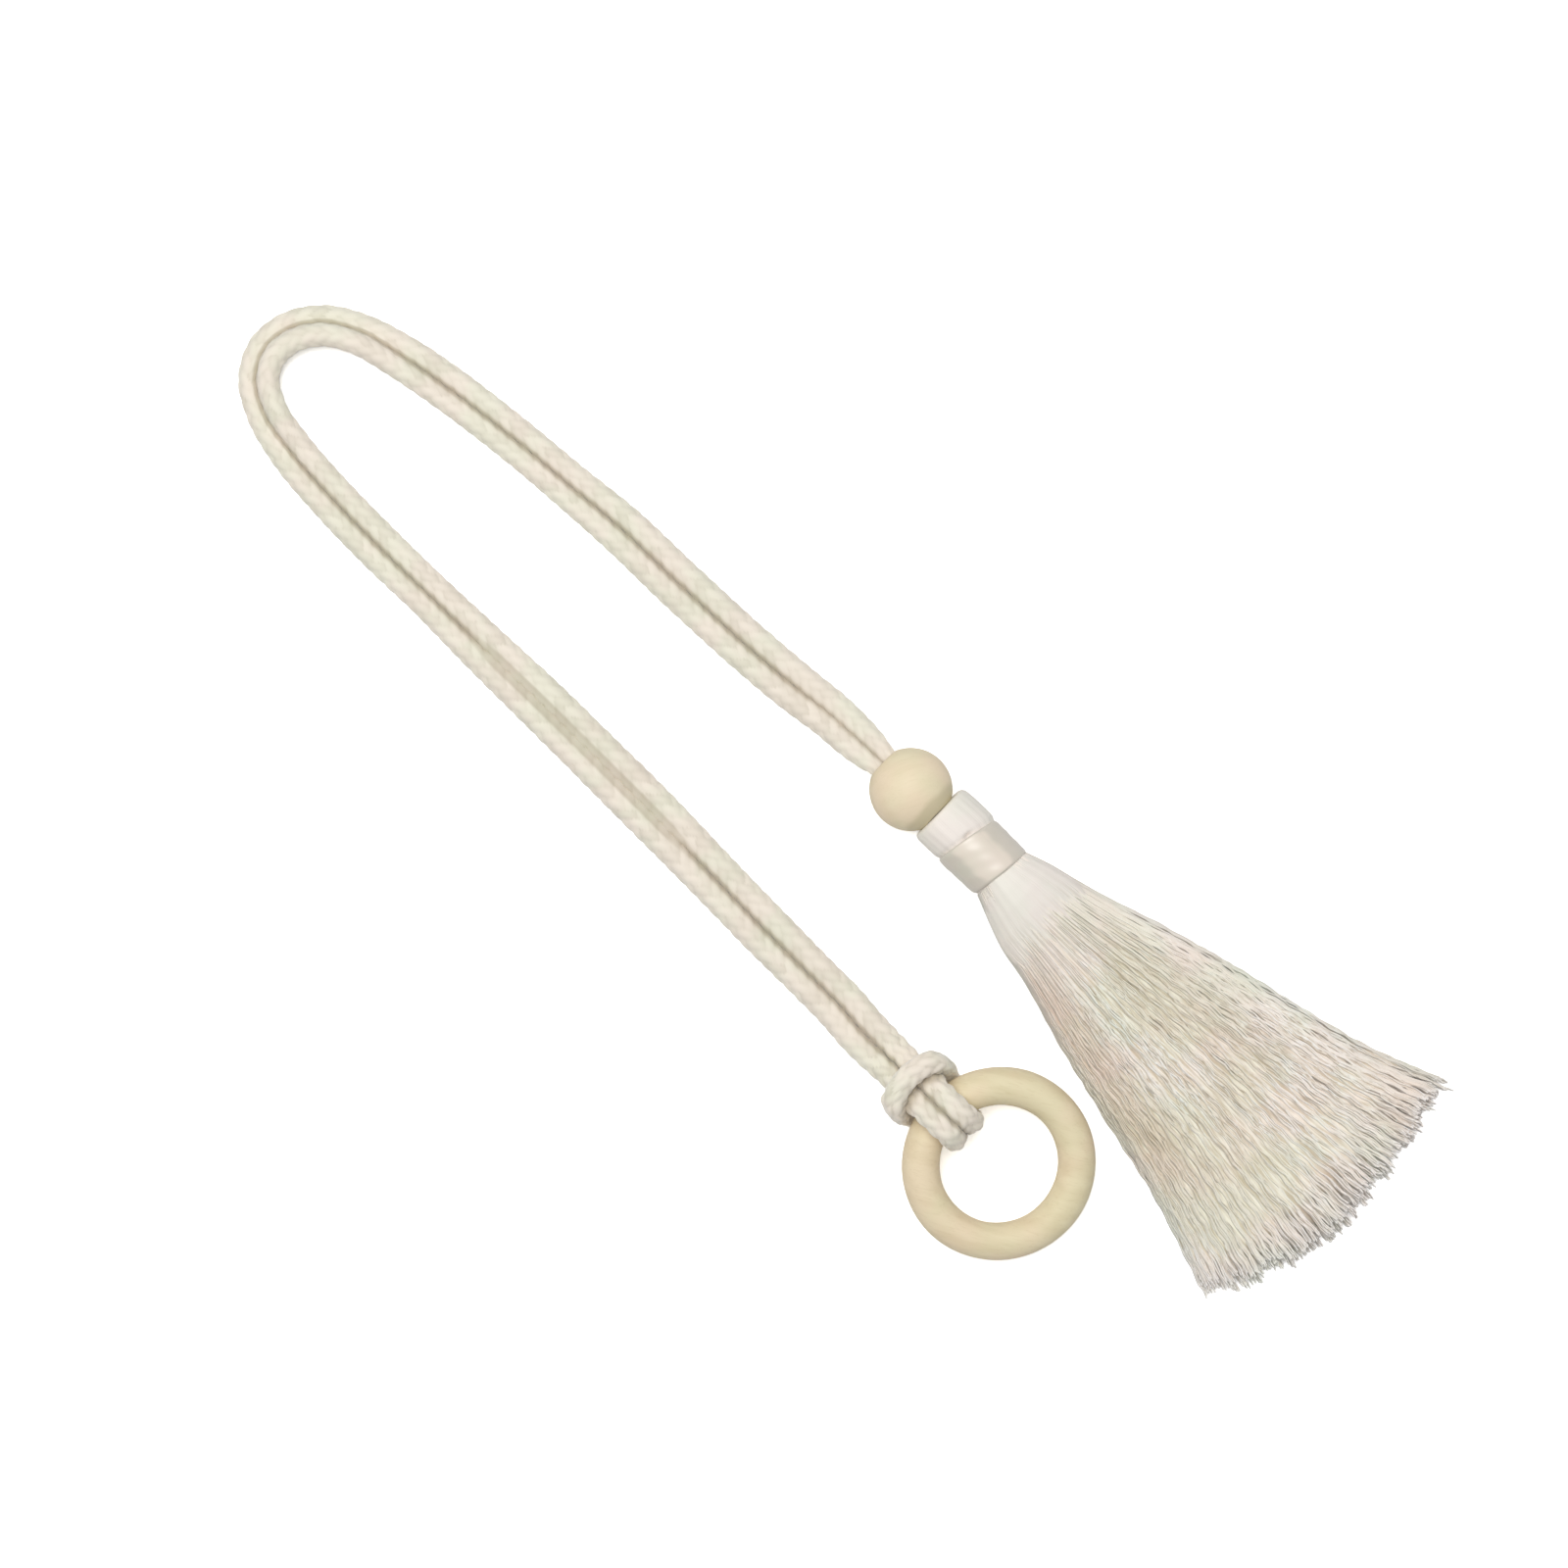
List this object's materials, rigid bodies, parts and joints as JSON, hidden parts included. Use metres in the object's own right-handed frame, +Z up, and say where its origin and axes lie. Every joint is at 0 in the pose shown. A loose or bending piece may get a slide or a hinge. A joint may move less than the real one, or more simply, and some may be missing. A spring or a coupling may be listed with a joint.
{
  "type": "curtain tieback",
  "caption": "Braided cord tieback folded in half, hitched to a round wooden ring at one end, with a wooden bead and a fanned yarn tassel at the other.",
  "frame": {"origin": "middle of the footprint of ring, bead and tassel, at the surface on which the tieback lies", "axes": "+X runs from the bead to the tassel's tips, +Y across it, +Z up from the surface"},
  "size_m": [0.4327, 0.1427, 0.0283],
  "materials": {
    "ring_wood": "pale turned wood, sanded, bare",
    "cord_braid": "soft ivory braided cord, matte",
    "bead_wood": "pale turned wood, smooth, faint sheen",
    "tassel_yarn": "silky ivory yarn with darker threads",
    "band_satin": "satin band, soft sheen"
  },
  "bodies": {
    "root": {"ring": "ring_wood", "cord": "cord_braid", "bead": "bead_wood", "tassel": "tassel_yarn", "binding": "band_satin"}
  },
  "joints": []
}
